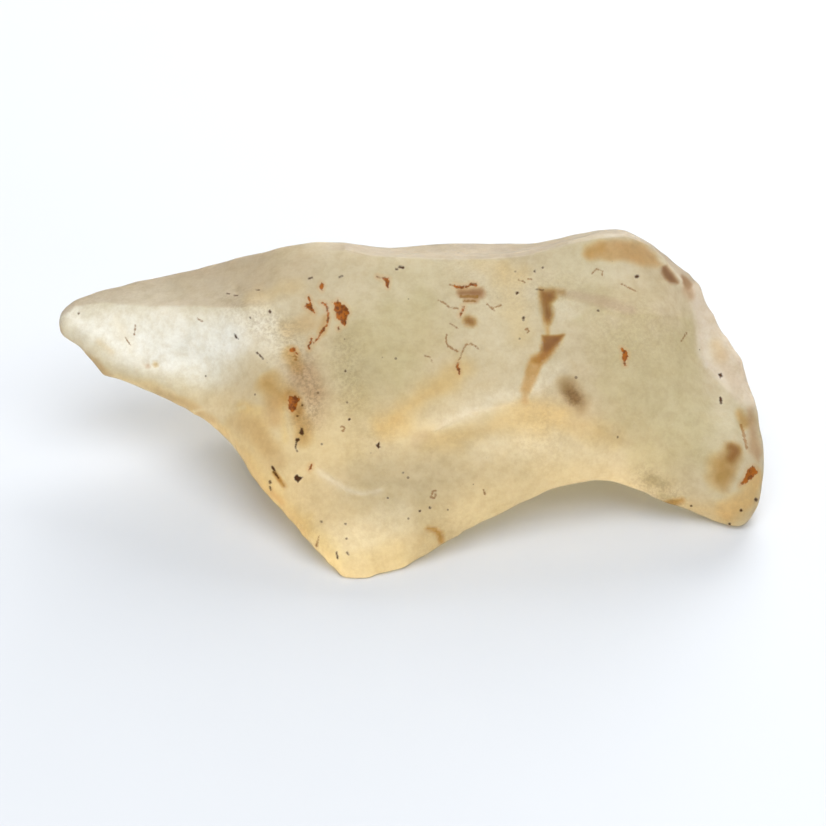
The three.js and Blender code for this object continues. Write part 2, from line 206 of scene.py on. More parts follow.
# What more than one list uses: the crest of the broad face, the crest of the tail and the strip beyond
# it, the edge of the nose's upper face, and the bright arc above the foot.
CREST = [
    (345, 253), (369.5, 258.5), (408, 261), (452, 263), (486, 262.5), (529, 258.5), (571, 246.5),
    (598, 241), (625, 239), (648, 248), (661, 260.5), (671, 271.5), (679, 283),
]
TAIL_CREST = [
    (679, 283), (688, 300), (693, 313), (696, 335), (699, 355), (705, 368), (714, 378), (728, 392),
]
TAIL_STRIP = [*TAIL_CREST, (748, 410), (800, 410), (800, 283)]
NOSE_CREST = [
    (68, 316), (77, 308), (103, 306), (129, 306), (151, 308.5), (172, 307.5), (189, 307.5),
    (206, 308.5), (224, 309.5), (249, 307.5),
]
ARC = [(318, 471), (328, 478), (340, 485), (350, 490.5), (362, 493), (380, 490.5)]

# Broad zones of the frosted skin: colour, strength, softness, and a line or an outline. Some are the
# glass's own tints, and some are painted light and shade. They overlap and run over the glass's edge.
ZONES = [
    # Painted glow: the lower part lighter and yellower, as where light from the table comes through the
    # glass.
    ("cream", 0.9, 30, [
        (250, 432), (330, 440), (420, 428), (520, 425), (640, 445), (700, 492), (790, 520), (790, 600),
        (330, 620), (200, 480),
    ]),
    ("olive", 0.75, 22, [(345, 300), (430, 300), (445, 345), (405, 395), (352, 412), (335, 360)]),
    ("olive", 0.85, 24, [
        (600, 318), (690, 322), (700, 380), (732, 430), (705, 474), (640, 462), (600, 425), (590, 360),
    ]),
    ("olive", 0.4, 16, (40, [(560, 290), (640, 300)])),
    ("amber", 0.8, 12, (24, [(384, 428), (410, 405), (436, 388), (462, 368)])),
    ("amber", 0.45, 12, (20, [(436, 440), (480, 431), (525, 420), (580, 424), (612, 438)])),
    ("amber", 0.5, 11, (16, [(505, 404), (530, 403), (562, 412)])),
    ("amber", 0.35, 14, (26, [(505, 280), (516, 310), (521, 335)])),
    ("amber", 0.35, 10, (14, [(470, 262), (520, 275)])),
    ("grey", 0.5, 14, (26, [(362, 372), (380, 392)])),
    ("grey_green", 0.18, 18, (40, [(350, 336), (366, 366), (372, 396)])),
    ("amber", 0.4, 8, (9, [(393, 422), (400, 417)])),
    ("mauve", 0.4, 7, (8, [(416, 441), (424, 436)])),
    # Painted light: the white streak along the trough and the pale wedge beside it are the relief's lit
    # sides.
    ("white", 0.85, 7, [
        (434, 430), (444, 414), (470, 401), (500, 390), (528, 382), (534, 394), (512, 404), (478, 418),
    ]),
    ("pale", 0.8, 6, [
        (528, 398), (533, 382), (545, 372), (558, 362), (566, 370), (556, 386), (542, 396),
    ]),
    ("pale", 0.9, 4, [
        (550, 302), (560, 299), (578, 303), (589, 309), (575, 316), (559, 327), (554, 314),
    ]),
    ("pale", 0.45, 12, (20, [(497, 345), (520, 362)])),
    ("pale", 0.45, 9, (16, [(606, 270), (640, 282)])),
    ("mauve", 0.8, 5, (8, [(558, 293), (580, 296), (606, 304), (630, 310)])),
    # Painted glow along the foot's lower edges, where light comes through the thin glass.
    ("gold", 0.5, 10, (14, [(276, 492), (300, 520), (330, 555)])),
    ("gold", 0.6, 9, (12, [(345, 568), (372, 562), (400, 552)])),
    ("amber", 0.35, 8, (10, [(424, 540), (436, 548)])),
    ("pale", 0.25, 18, (34, [(380, 492), (440, 478), (480, 470)])),
    ("grey", 0.25, 12, (24, [(520, 460), (560, 452)])),
    # Painted glow along the toe's edge.
    ("cream", 0.8, 10, (14, [(330, 575), (420, 546), (510, 496), (560, 483), (620, 485), (660, 500)])),
    ("amber", 0.6, 8, (16, [(246, 412), (254, 428), (266, 446)])),
    ("gold", 0.6, 4, (7, [(240, 408), (258, 410)])),
    ("gold", 0.5, 4, (6, [(283, 412), (285, 440)])),
    ("tan", 0.5, 5, (7, [(273, 405), (274, 424)])),
    ("mauve", 0.55, 10, (34, [(303, 372), (316, 396), (312, 412)])),
    # Painted glow: the nose's front face white, as light from behind shines through the thin nose.
    ("white", 1.0, 13, [
        (60, 304), (250, 304), (272, 318), (276, 340), (256, 358), (225, 372), (195, 380), (150, 374),
        (112, 362), (88, 348), (72, 334),
    ]),
    ("pale", 0.6, 12, (36, [(205, 380), (238, 376)])),
    ("grey", 0.35, 9, (22, [(205, 382), (238, 378)])),
    ("grey", 0.3, 5, (8, [(184, 345), (190, 336), (194, 326)])),
    # Painted shade: the nose's upper face darker, as it looks down through the glass into the shade under
    # the nose.
    ("upward_face_shade", 0.8, 1.6, [
        (50, 318), *NOSE_CREST, (275, 303.5), (301, 290), (330, 262), (330, 230), (50, 230),
    ]),
    ("base", 0.9, 18, [(264, 215), (345, 215), (345, 300), (300, 306), (268, 308)]),
    ("tan", 0.5, 14, (34, [(262, 275), (300, 272)])),
    ("mauve", 0.25, 6, (12, [(110, 296), (160, 276), (220, 262), (290, 243)])),
    ("shade", 1.0, 3.5, (9, [(52, 322), (60, 340), (74, 350), (94, 363), (108, 378)])),
    ("amber", 0.35, 7, (14, [(250, 298), (275, 292), (300, 286)])),
    ("honey", 0.9, 5, (12, [(116, 382), (150, 387), (172, 399), (200, 414), (226, 434)])),
    ("shade", 0.7, 5, (10, [(160, 394), (190, 406), (212, 420)])),
    ("amber", 0.6, 8, (16, [(226, 433), (268, 490), (300, 535)])),
    ("shade", 0.55, 9, (18, [(240, 424), (262, 440), (276, 462)])),
    ("pale", 0.8, 2, (3, [(194, 411), (206, 408.5), (220, 409), (232, 411), (244, 407)])),
    # Painted highlight along the arc above the foot.
    ("white", 0.7, 4, (7, ARC)),
    # Painted shade on the strip beyond the crest, which faces up.
    ("upward_face_shade", 0.9, 1.6, [(320, 225), (320, 248), *CREST, (700, 283), (800, 283), (800, 225)]),
    ("base", 0.9, 16, (18, [(316, 226), (322, 248)])),
    ("blush", 0.9, 4, TAIL_STRIP),
    ("tan", 0.45, 4, (6, [(380, 252), (440, 256), (500, 254)])),
    # Painted highlights along the crests.
    ("white", 0.5, 1.8, (1.6, CREST)),
    ("white", 0.6, 1.8, (2.4, TAIL_CREST)),
    ("pale", 0.6, 1.8, (2.2, [(728, 386), (741, 397), (747, 408)])),
    ("olive", 0.5, 2.6, (3, [(600, 312), (625, 316.5), (652, 317), (678, 320), (690, 327), (691, 336)])),
    ("pale", 0.4, 7, (11, [(708, 352), (716, 340)])),
    ("mauve", 0.35, 5, (10, [(722, 358), (731, 378), (736, 392)])),
    # Painted glow along the tail's lower edge.
    ("flame", 0.85, 7, (18, [(728, 512), (748, 500), (755, 480)])),
    ("flame", 0.4, 8, (12, [(690, 506), (728, 516)])),
]

# Zones where the photograph shows nothing: colour, strength, size in millimetres, from which noise on it
# sets in, and the noise's seed.
HIDDEN_ZONES = [
    ("honey", 0.9, 6.0, 0.1, 19),
    ("olive", 0.8, 5.0, 0.15, 19),
    ("pale", 0.9, 6.5, 0.15, 18),
    ("tan", 0.7, 5.5, 0.2, 17),
    ("grey_green", 0.4, 3.0, 0.3, 24),
    ("light_ochre", 0.8, 3.2, 0.5, 25),
    ("umber", 0.45, 1.9, 0.62, 19),
]
HIDDEN_SLOPE = 0.45  # how much more noise it takes until a zone has its full strength
HIDDEN_WANDER = 0.25

# How the zones' edges wander: share, size and seed of each noise. The whole is a share of the softness.
WANDER = [(1.0, 1.6 * MM, 5), (0.5, 0.7 * MM, 6)]
WANDER_SHARE = 0.6

# How patchy the zones' strength is: its mean, how much a noise changes it, and the noise's size and seed.
PATCHY = (0.92, 0.16, 0.45 * MM, 8)

# Soft stains in or under the skin, and a painted highlight along the top of the crest, written as the
# zones are.
STAINS = [
    ("umber", 1.0, 4.5, [
        (540, 290), (553.5, 292), (556, 298.5), (552, 304), (554, 314.5), (550, 324), (545, 321),
        (541, 309.5), (540, 298.5),
    ]),
    ("umber", 0.3, 5, (5, [(551, 291), (562, 293)])),
    ("ochre", 0.5, 3, (5, [(547, 320), (548, 334)])),
    ("ochre", 1.0, 3.4, [
        (542.5, 336), (562.5, 335.5), (558, 345), (552, 353), (544, 362), (539, 368), (536, 374),
        (528, 376), (528, 370), (531.5, 357.5), (542, 352),
    ]),
    ("light_ochre", 1.0, 3.2, [(530, 362), (540, 364), (536, 380), (529, 392), (521, 390), (526, 376)]),
    ("umber", 0.75, 2.6, [(542, 335), (564, 334.5), (557, 345), (549, 350), (543, 350)]),
    ("light_ochre", 0.8, 4, (6, [(527, 382), (525, 400)])),
    ("light_ochre", 1.0, 4, [
        (583, 255), (587, 250), (600, 245.5), (614.5, 243.5), (630.5, 243.5), (643, 248), (653.5, 256),
        (662, 266), (657, 268), (648, 265), (637.5, 263), (625, 260), (610.5, 261), (600, 259),
        (589.5, 260),
    ]),
    ("ochre", 0.3, 5, (9, [(589, 252), (600, 249)])),
    # Painted highlight along the top of the crest.
    ("white", 0.8, 2.4, (4, [(570, 244.5), (598, 238), (625, 236.5), (645, 242)])),
    ("bistre", 0.85, 2.4, [
        (660, 267), (664.5, 266.5), (670, 275.5), (675, 284), (669.5, 283), (664, 278.5),
        (660.5, 273.5),
    ]),
    ("bistre", 0.5, 2.4, [(680.5, 277), (685, 279), (690, 285), (687, 289), (681, 284)]),
    ("rose", 0.6, 4, (7, [(685, 290), (690, 297)])),
    ("plum", 0.95, 4, (9, [(462, 292), (480, 293)])),
    ("plum", 0.5, 3, (5, [(466, 300), (476, 300)])),
    ("umber", 1.0, 4, (10, [(469, 320.5), (472, 322)])),
    ("grey_brown", 0.7, 5, (12, [(568, 390), (574, 399)])),
    ("grey_brown", 0.5, 8, (16, [(566, 384), (582, 406)])),
    ("umber", 0.4, 7, [
        (726, 443), (738, 446), (740, 459), (733, 474), (724, 488), (716, 480), (719, 460),
    ]),
    ("umber", 0.8, 4.5, (8, [(731, 446), (736, 451), (731, 459)])),
    ("ochre", 0.3, 9, (14, [(716, 462), (712, 476)])),
    ("rose", 0.7, 4, [
        (749, 410), (753.5, 419), (757, 437), (761, 451.5), (758, 460), (750, 451.5), (750, 433.5),
        (748, 421),
    ]),
    ("ochre", 0.4, 4, (6, [(739, 414), (745, 424)])),
    ("grey_green", 0.8, 5, (9, [(650, 479), (662, 484)])),
    ("grey_green", 0.7, 5, (7, [(662, 495), (674, 503)])),
    ("ochre", 0.6, 3.5, (5, [(668, 504), (682, 500)])),
    ("ochre", 0.42, 10, (14, [(268, 384), (282, 397)])),
    ("light_ochre", 0.55, 9, (12, [(272, 402), (275, 420)])),
    ("umber", 0.5, 6, (10, [(292, 398), (297, 407)])),
    ("umber", 0.28, 8, (9, [(297, 416), (302, 428), (304, 438)])),
    ("rose", 0.5, 8, (20, [(303, 378), (314, 392)])),
    ("rose", 0.6, 2.4, (4, [(147.5, 366)])),
    ("umber", 0.25, 2.4, (4, [(155, 364.5)])),
    ("light_ochre", 0.12, 7, (8, [(117, 320), (124, 334), (131, 345)])),
    ("light_ochre", 0.25, 4, (6, [(98, 342), (112, 352)])),
    ("light_ochre", 0.3, 7, (8, [(716, 345), (723, 357)])),
    ("umber", 0.6, 2, (4, [(274, 473), (280, 481), (284, 486)])),
    ("ochre", 0.6, 2.4, (4, [(427, 528.5), (434, 529.5), (439.5, 534), (441, 541)])),
    ("light_ochre", 0.7, 4, (6, [(272, 492), (281, 503)])),
    ("rust_stain", 0.3, 6, (12, [(340, 311)])),
    ("rust_stain", 0.35, 4, (6, [(326, 318), (322, 332)])),
    ("light_ochre", 0.4, 8, (14, [(288, 330), (310, 322)])),
    ("ochre", 0.35, 6, (8, [(291, 354), (296, 366)])),
]

# From which slope of the skin towards the camera to which the photograph's marks set in.
FADE_BEHIND = (-0.35, 0.05)

# Crisp edges where worn faces meet: height, width of the flanks, and the line.
EDGES = [
    (0.22, 10, NOSE_CREST),
    (0.22, 8, CREST),
    (0.09, 8, TAIL_CREST),
    (0.10, 9, [(537, 290), (559, 298.5), (600, 309), (625, 314.5), (652, 314.5), (679, 317), (689, 322)]),
    (0.10, 8, [(192, 414), (206, 410), (220, 413), (233, 421)]),
    (0.08, 8, [(552, 302), (575, 302), (589, 309)]),
    (0.08, 8, [(556, 324), (589, 309)]),
]

# Ledges: height of the step, how far it fades out above it, and the line, with the sunk side on its left.
LEDGE_STEP = 1.2  # half the width of the step in pixels
LEDGES = [
    (0.09, 16, [(326, 472), (336.5, 481.5), (345.5, 490.5), (356, 495), (368.5, 493.5), (376, 489.5)]),
    (0.06, 12, [(440, 428), (470, 413), (512, 404)]),
    (0.05, 9, [(540, 336), (562, 335.5)]),
    (0.05, 10, [(528, 398), (545, 390), (560, 374)]),
]

# Shallow hollows worn or chipped into the skin: depth, and a line. Swellings have a depth below 0.
HOLLOWS = [
    (0.22, (44, [(205, 376), (226, 378)])),
    (0.10, (14, [(236, 291)])),
    (0.12, (22, [(440, 424), (500, 404)])),
    (0.10, (20, [(545, 300), (548, 320)])),
    (0.10, (18, [(544, 350), (532, 375)])),
    (0.08, (18, [(571, 395)])),
    (0.08, (12, [(566, 312)])),
    (0.10, (26, [(350, 470)])),
    (0.08, (20, [(295, 395)])),
    (0.08, (16, [(718, 374)])),
    (0.10, (12, [(742, 430), (748, 448)])),
    (0.08, (14, [(276, 476)])),
    (0.10, (10, [(147, 366), (155, 364)])),
    (-0.10, (30, [(160, 340), (200, 345)])),
    (-0.08, (26, [(470, 445), (540, 430)])),
    (-0.08, (24, [(600, 345), (640, 390)])),
]

# How many widths away an edge, and how many fades away a ledge, has no effect any more.
EDGE_REACH = 4
LEDGE_REACH = 3

# Sand wear: depth and size of its lumps, and the noise's seed. The fine wear is deeper in rough skin.
SAND_WEAR = [(0.030 * MM, 1.7 * MM, 1), (0.014 * MM, 0.8 * MM, 2)]
FINE_WEAR = (0.006 * MM, 0.35 * MM, 3)
ROUGH_WEAR = 3

# How deep each kind of mark is sunk, and from where to where in it, in pixels, the skin slopes down.
PITS = [("rust", 0.09 * MM, -1, 4), ("dirt", 0.02 * MM, -0.8, 2.2), ("crack", 0.012 * MM, -0.8, 1.0)]
FLATS = 0.4 * MM  # relief fades out below this height, so that the resting flats stay flat

# Random marks where the photograph shows nothing: how many, and the range of their number of steps.
HIDDEN_SEED = 7
HIDDEN_KINDS = {"rust": (26, (0, 4)), "dirt": (46, (0, 2)), "crack": (12, (2, 7))}

# Their widths and the length of a step in pixels, and how much each step turns. The underside has none.
HIDDEN_WIDTH = (1.4, 4.5)
HIDDEN_CRACK_WIDTH = 1.3
HIDDEN_STEP = (2, 4)
HIDDEN_TURN = 0.5
UNDERSIDE = -0.9

# Rough patches all over: strength, the noise's size and seed, and from which value to which they set in.
SCATTERED = (0.25, 5 * MM, 11, 0.2, 0.9)

# Skin that is rough with fine pits: depth, softness, and a line.
ROUGH = [
    (1.0, 10, (22, [(303, 372), (313, 392), (312, 408)])),
    (0.7, 14, (30, [(262, 322), (285, 335), (300, 365), (305, 420)])),
    (0.6, 12, (26, [(645, 480), (672, 500)])),
    (1.0, 7, (16, [(571, 394), (574, 399)])),
    (0.5, 12, (30, [(345, 350), (350, 400)])),
    (0.38, 16, (26, [(235, 306), (262, 322), (280, 350)])),
    (0.3, 20, (40, [(480, 290), (560, 290)])),
]

# Milky places, where the skin scatters more of the light: strength, softness, and a line or an outline.
MILKINESS = 0.1
MILKY = [
    (0.9, 24, [
        (62, 314), (236, 314), (250, 326), (250, 345), (232, 366), (215, 384), (190, 386), (165, 380),
        (134, 370), (112, 358), (84, 340), (70, 330),
    ]),
    (0.4, 22, (50, [(262, 322), (275, 345)])),
    (0.25, 6, TAIL_STRIP),
    (0.3, 8, (14, [(660, 262), (684, 286)])),
    (0.15, 2, (2, CREST)),
    (0.3, 4, (6, ARC)),
    (0.3, 12, (26, [(440, 420), (478, 404), (530, 386), (556, 368)])),
    (0.3, 16, (40, [(345, 540), (400, 520)])),
    (0.25, 16, (30, [(480, 450), (560, 445), (620, 458)])),
]

NOISE_MEAN = 0.5
NOISE_ROUGHNESS = 0.55  # where no other is given

# The glass: how it bends and reflects light, how much goes through its skin, and what its inside takes.
IOR = 1.46
REFLECTION = 0.3
CLEARNESS = 0.88
ABSORPTION = (0.96, 0.8, 0.44, 1)
ABSORPTION_DENSITY = 50.0

# How frosted the skin is, how much that varies, and the noise that it varies with: size and detail.
FROST = 0.55
FROST_SPREAD = 0.16
FROST_NOISE = (0.9 * MM, 4)

# The grain of the skin: two noises, the share of the coarse one, the depth, the strength, and what rough
# skin adds to it.
FINE_GRAIN = (0.10 * MM, 3)
COARSE_GRAIN = (0.4 * MM, 3)
COARSE_SHARE = 1.5
GRAIN_DEPTH = 0.02 * MM
GRAIN_STRENGTH = 0.35
ROUGH_STRENGTH = 0.5

# The marks' edges: how far a noise moves them in pixels, and its size, detail and roughness. Each kind
# takes a share of that, and sets in from one depth to another.
RAGGED = 5.0
RAGGED_NOISE = (0.2 * MM, 5, 0.65)
MARK_EDGES = {"rust": (1.0, -0.9, 0.7), "dirt": (0.6, -0.9, 0.9), "crack": (0.8, -0.9, 0.6)}
CRACK_SHARE = 0.85
HALO = (0.4, -4.5, -0.5)

# How much cracks and rough skin keep the light out.
CRACK_OPAQUE = 0.6
ROUGH_OPAQUE = 0.2

# Patches in the skin, and painted glints: the noise's size, detail and roughness, and from which value to
# which they set in.
DEEP_RUST_PATCHES = (0.3 * MM, 5, 0.7, 0.44, 0.58)
CLOUDS = (2.4 * MM, 4, 0.6, 0.4, 0.68)
MOTTLE = (0.6 * MM, 5, 0.65, 0.38, 0.68)
GRAINS = (0.2 * MM, 4, 0.7, 0.38, 0.62)
# Painted glints: tiny white points of painted highlight.
PAINTED_GLINTS = (0.13 * MM, 3, NOISE_ROUGHNESS, 0.6, 0.72)

# Their strengths, and how much more there is where the skin is milky or rough.
CLOUD_SHARE = 0.38
MILKY_CLOUDS = -0.3
MOTTLE_SHARE = 0.25
GRAIN_SHARE = 0.1
ROUGH_GRAINS = 0.55
GLINT_SHARE = 0.25
ROUGH_GLINTS = 0.6

# Points of dirt: strength, spacing, how many of them smooth skin has, and how many rough skin adds. Their
# radius, its spread and their soft edge are shares of the spacing.
SPECK_SHARE = 0.75
SPECK_SPACING = 0.75 * MM
SPECKS_SMOOTH = 0.1
SPECKS_ROUGH = 0.5
SPECK_RADIUS = 0.03
SPECK_SPREAD = 0.09
SPECK_EDGE = (0.03, -0.02)

# The table: half its side in metres, its height, its two tints, and the size of their patches.
TABLE_HALF = 2.0
TABLE_HEIGHT = -0.03 * MM
TABLE_TINTS = ((0.585, 0.61, 0.65, 1), (0.6, 0.625, 0.665, 1))
TABLE_PATCHES = (12 * MM, 2)
TABLE_ROUGHNESS = 0.7

# The room's light, and the softboxes: name, power in watts, side in metres, and where it stands.
ROOM_COLOUR = (0.9, 0.95, 1.0, 1)
ROOM_LIGHT = 0.41
SOFTBOXES = [
    ("softbox_above", 2.9, 0.6, (0.15, -0.3, 1.0)),
    ("softbox_behind", 2.6, 0.3, (0.25, 0.9, 0.45)),
]
SOFTBOX_COLOUR = (1.0, 0.985, 0.96)
SOFTBOX_DISTANCE = 0.5


def make_camera():
    """The photograph's camera."""
    camera = bpy.data.objects.new("camera", bpy.data.cameras.new("camera"))
    bpy.context.scene.collection.objects.link(camera)
    camera.data.sensor_width = SENSOR
    camera.data.lens = LENS
    camera.data.clip_start, camera.data.clip_end = CAMERA_CLIP
    camera.location = CAMERA
    camera.rotation_euler = (math.pi / 2 - CAMERA_ELEVATION, 0, 0)
    bpy.context.scene.camera = camera


def pixels_of(places):
    """The pixel of the photograph at which its camera would see each place."""
    offset = places - CAMERA
    depth = -offset @ TOWARDS_CAMERA
    across = PHOTO_SIDE / 2 + FOCAL_PIXELS * offset[:, 0] / depth
    down = PHOTO_SIDE / 2 - FOCAL_PIXELS * (offset @ CAMERA_UP) / depth
    return np.stack([across, down], axis=1)


def welded(node):
    """The vertices and triangles of a CAD node, with vertices at one place made one."""
    mesh = node.data
    mesh.calc_loop_triangles()
    places = np.empty(len(mesh.vertices) * 3, np.float32)
    mesh.vertices.foreach_get("co", places)
    corners = np.empty(len(mesh.loop_triangles) * 3, np.int32)
    mesh.loop_triangles.foreach_get("vertices", corners)
    keys = np.round(places.reshape(-1, 3) / WELD).astype(np.int64)
    _, first, same = np.unique(keys, axis=0, return_index=True, return_inverse=True)
    triangles = same.reshape(-1)[corners].reshape(-1, 3)
    real = (triangles != np.roll(triangles, 1, axis=1)).all(axis=1)
    return places.reshape(-1, 3)[first].astype(float), triangles[real]


def edges_of(triangles):
    """The edges, and the three edges of each triangle, of which the first starts at its first corner."""
    sides = np.stack([triangles, np.roll(triangles, -1, axis=1)], axis=2).reshape(-1, 2)
    edges, of_side = np.unique(np.sort(sides, axis=1), axis=0, return_inverse=True)
    return edges, of_side.reshape(-1, 3)


LOOP_NEAR, LOOP_FAR = 3 / 8, 1 / 8  # Loop's weights


def loop_subdivided(places, triangles):
    """One step of Loop's subdivision of a closed mesh."""
    edges, sides = edges_of(triangles)
    opposite = np.zeros((len(edges), 3))
    np.add.at(opposite, sides.ravel(), places[np.roll(triangles, 1, axis=1)].reshape(-1, 3))
    middles = LOOP_NEAR * places[edges].sum(axis=1) + LOOP_FAR * opposite
    around = np.zeros_like(places)
    valence = np.zeros(len(places))
    for a, b in ((0, 1), (1, 0)):
        np.add.at(around, edges[:, a], places[edges[:, b]])
        np.add.at(valence, edges[:, a], 1)
    weight = np.where(valence > 3, LOOP_NEAR / valence, LOOP_NEAR / 2)[:, None]
    moved = (1 - valence[:, None] * weight) * places + weight * around
    return np.vstack([moved, middles]), four_way(triangles, sides + len(places))


def four_way(triangles, middles):
    """Each triangle cut into four at the middles of its sides."""
    a, b, c = triangles.T
    ab, bc, ca = middles.T
    return np.vstack([np.stack(t, axis=1) for t in ((a, ab, ca), (b, bc, ab), (c, ca, bc), (ab, bc, ca))])


def refined(places, triangles, target):
    """The mesh with each edge cut in two that is longer than the target at its ends."""
    edges, sides = edges_of(triangles)
    length = np.linalg.norm(places[edges[:, 0]] - places[edges[:, 1]], axis=1)
    cut = length > target[edges].min(axis=1)
    crowded = cut[sides].sum(axis=1) >= 2
    cut[sides[crowded].ravel()] = True
    if not cut.any():
        return places, triangles, target
    number = np.full(len(edges), -1)
    number[cut] = len(places) + np.arange(cut.sum())
    ends = edges[cut]
    places = np.vstack([places, places[ends].mean(axis=1)])
    target = np.concatenate([target, target[ends].min(axis=1)])
    cuts = cut[sides].sum(axis=1)
    parts = [triangles[cuts == 0], four_way(triangles[cuts == 3], number[sides[cuts == 3]])]
    for turn in range(3):
        t, s = np.roll(triangles, -turn, axis=1), np.roll(sides, -turn, axis=1)
        one = (cuts == 1) & cut[s[:, 0]]
        two = (cuts == 2) & cut[s[:, 0]] & cut[s[:, 1]]
        a, b, c = t[one].T
        middle = number[s[one, 0]]
        parts += [np.stack([a, middle, c], axis=1), np.stack([middle, b, c], axis=1)]
        a, b, c = t[two].T
        ab, bc = number[s[two, 0]], number[s[two, 1]]
        parts += [np.stack(p, axis=1) for p in ((a, ab, c), (ab, bc, c), (ab, b, bc))]
    return places, np.vstack(parts), target


def normals_of(places, triangles):
    """The normal at each vertex."""
    corner = places[triangles]
    face = np.cross(corner[:, 1] - corner[:, 0], corner[:, 2] - corner[:, 0])
    normals = np.zeros_like(places)
    for k in range(3):
        np.add.at(normals, triangles[:, k], face)
    return normals / np.maximum(np.linalg.norm(normals, axis=1, keepdims=True), TINY)


LATTICE_SEED = 29
LATTICE_SIDE = 32
LATTICE = np.random.default_rng(LATTICE_SEED).uniform(-1, 1, (LATTICE_SIDE,) * 3)
SEED_STEP = np.array([7.31, 3.17, 5.53])


def noise(places, size, seed):
    """Smooth noise from about -1 to 1, with lumps of that size."""
    at = places / size + seed * SEED_STEP
    cell = np.floor(at).astype(int)
    t = at - cell
    t = t * t * (3 - 2 * t)
    value = np.zeros(len(places))
    for corner in np.ndindex(2, 2, 2):
        share = np.prod(np.where(corner, t, 1 - t), axis=1)
        value += share * LATTICE[tuple(((cell + corner) % LATTICE_SIDE).T)]
    return value


def distance_to_line(places, line):
    """The distance from each place to a line through points, or to its one point."""
    line = np.asarray(line, float)
    nearest = np.linalg.norm(places - line[0], axis=1)
    for a, b in zip(line, line[1:]):
        along = np.clip((places - a) @ (b - a) / max((b - a) @ (b - a), TINY), 0, 1)
        nearest = np.minimum(nearest, np.linalg.norm(places - a - along[:, None] * (b - a), axis=1))
    return nearest


def depth_in(pixels, shape):
    """How far inside a shape each pixel is, below 0 outside. A shape is (width, line) or an outline."""
    if isinstance(shape, tuple):
        width, line = shape
        return width / 2 - distance_to_line(pixels, line)
    outline = np.asarray(shape, float)
    inside = np.zeros(len(pixels), bool)
    for (ax, ay), (bx, by) in zip(outline, np.roll(outline, -1, axis=0)):
        if ay != by:
            crosses = (ay > pixels[:, 1]) != (by > pixels[:, 1])
            inside ^= crosses & (pixels[:, 0] < ax + (pixels[:, 1] - ay) * (bx - ax) / (by - ay))
    away = distance_to_line(pixels, np.vstack([outline, outline[:1]]))
    return np.where(inside, away, -away)


def near(pixels, shape, margin):
    """Which pixels lie in the box around a shape."""
    points = np.asarray(shape[1] if isinstance(shape, tuple) else shape, float)
    margin += shape[0] / 2 if isinstance(shape, tuple) else 0
    low, high = points.min(axis=0) - margin, points.max(axis=0) + margin
    return np.nonzero(((pixels > low) & (pixels < high)).all(axis=1))[0]


FAR = 6.0  # pixels from a mark beyond which it has no effect
GRAZING = 0.05  # how far a normal may point away from the camera where the skin still counts as seen
BLOCKED = 0.15 * MM  # how much nearer another surface has to be to hide the skin


def mark_field(pixels, seen, shapes):
    """How deep inside the nearest of the marks each vertex is, in pixels, down to -FAR."""
    field = np.full(len(pixels), -FAR)
    for shape in shapes:
        at = near(pixels, shape, FAR)
        at = at[seen[at]]
        field[at] = np.maximum(field[at], depth_in(pixels[at], shape))
    return field


def smooth(value, low, high):
    """0 below low and 1 above high, smooth between."""
    t = np.clip((value - low) / (high - low), 0, 1)
    return t * t * (3 - 2 * t)


def seen_by_camera(places, triangles, normals):
    """Which vertices the photograph's camera sees."""
    tree = BVHTree.FromPolygons(places.tolist(), triangles.tolist())
    towards = places - CAMERA
    away = np.linalg.norm(towards, axis=1)
    towards /= away[:, None]
    seen = (normals * towards).sum(axis=1) < GRAZING
    for v in np.nonzero(seen)[0]:
        distance = tree.ray_cast(CAMERA, towards[v])[3]
        seen[v] = distance is not None and distance > away[v] - BLOCKED
    return seen


def hidden_marks(places, normals, seen, kind, rng):
    """Random small marks where the photograph shows nothing: a list of (width, line) in metres."""
    count, steps = kind
    facing_away = np.nonzero(~seen & (normals[:, 2] > UNDERSIDE))[0]
    marks = []
    for start in places[rng.choice(facing_away, count)]:
        line = [start]
        turn = rng.normal(size=3)
        for _ in range(rng.integers(*steps)):
            turn = turn + rng.normal(size=3) * HIDDEN_TURN
            step = line[-1] + turn / np.linalg.norm(turn) * rng.uniform(*HIDDEN_STEP) * PIXEL
            line.append(places[np.argmin(((places - step) ** 2).sum(axis=1))])
        marks.append((rng.uniform(*HIDDEN_WIDTH) * PIXEL, line))
    return marks


def add_hidden(field, places, seen, marks):
    """The depths inside hidden marks, put into the field where the camera doesn't see the skin."""
    for width, line in marks:
        centre = np.mean(line, axis=0)
        reach = max(np.linalg.norm(p - centre) for p in line) + width + FAR * PIXEL
        at = np.nonzero((np.linalg.norm(places - centre, axis=1) < reach) & ~seen)[0]
        depth = (width / 2 - distance_to_line(places[at], line)) / PIXEL
        field[at] = np.maximum(field[at], depth)


def all_hidden_marks(places, normals, facing):
    """The random marks of each kind."""
    rng = np.random.default_rng(HIDDEN_SEED)
    marks = {}
    for name, kind in HIDDEN_KINDS.items():
        marks[name] = hidden_marks(places, normals, facing, kind, rng)
    marks["crack"] = [(HIDDEN_CRACK_WIDTH * PIXEL, line) for _, line in marks["crack"]]
    return marks


def longest_edges(places, facing, hidden):
    """The longest edge that each vertex allows, which is short around marks and along crisp edges."""
    pixels = pixels_of(places)
    target = np.full(len(places), PLAIN_EDGE)
    crisp = [(CRISP_WIDTH, line) for _, _, line in EDGES + LEDGES]
    for shape in sum(MARKS.values(), crisp):
        at = near(pixels, shape, REFINE_MARGIN)
        at = at[facing[at]]
        target[at[depth_in(pixels[at], shape) > -REFINE_MARGIN]] = MARK_EDGE
    for _, line in sum(hidden.values(), []):
        target[distance_to_line(places, line) < REFINE_MARGIN * PIXEL] = MARK_EDGE
    return target


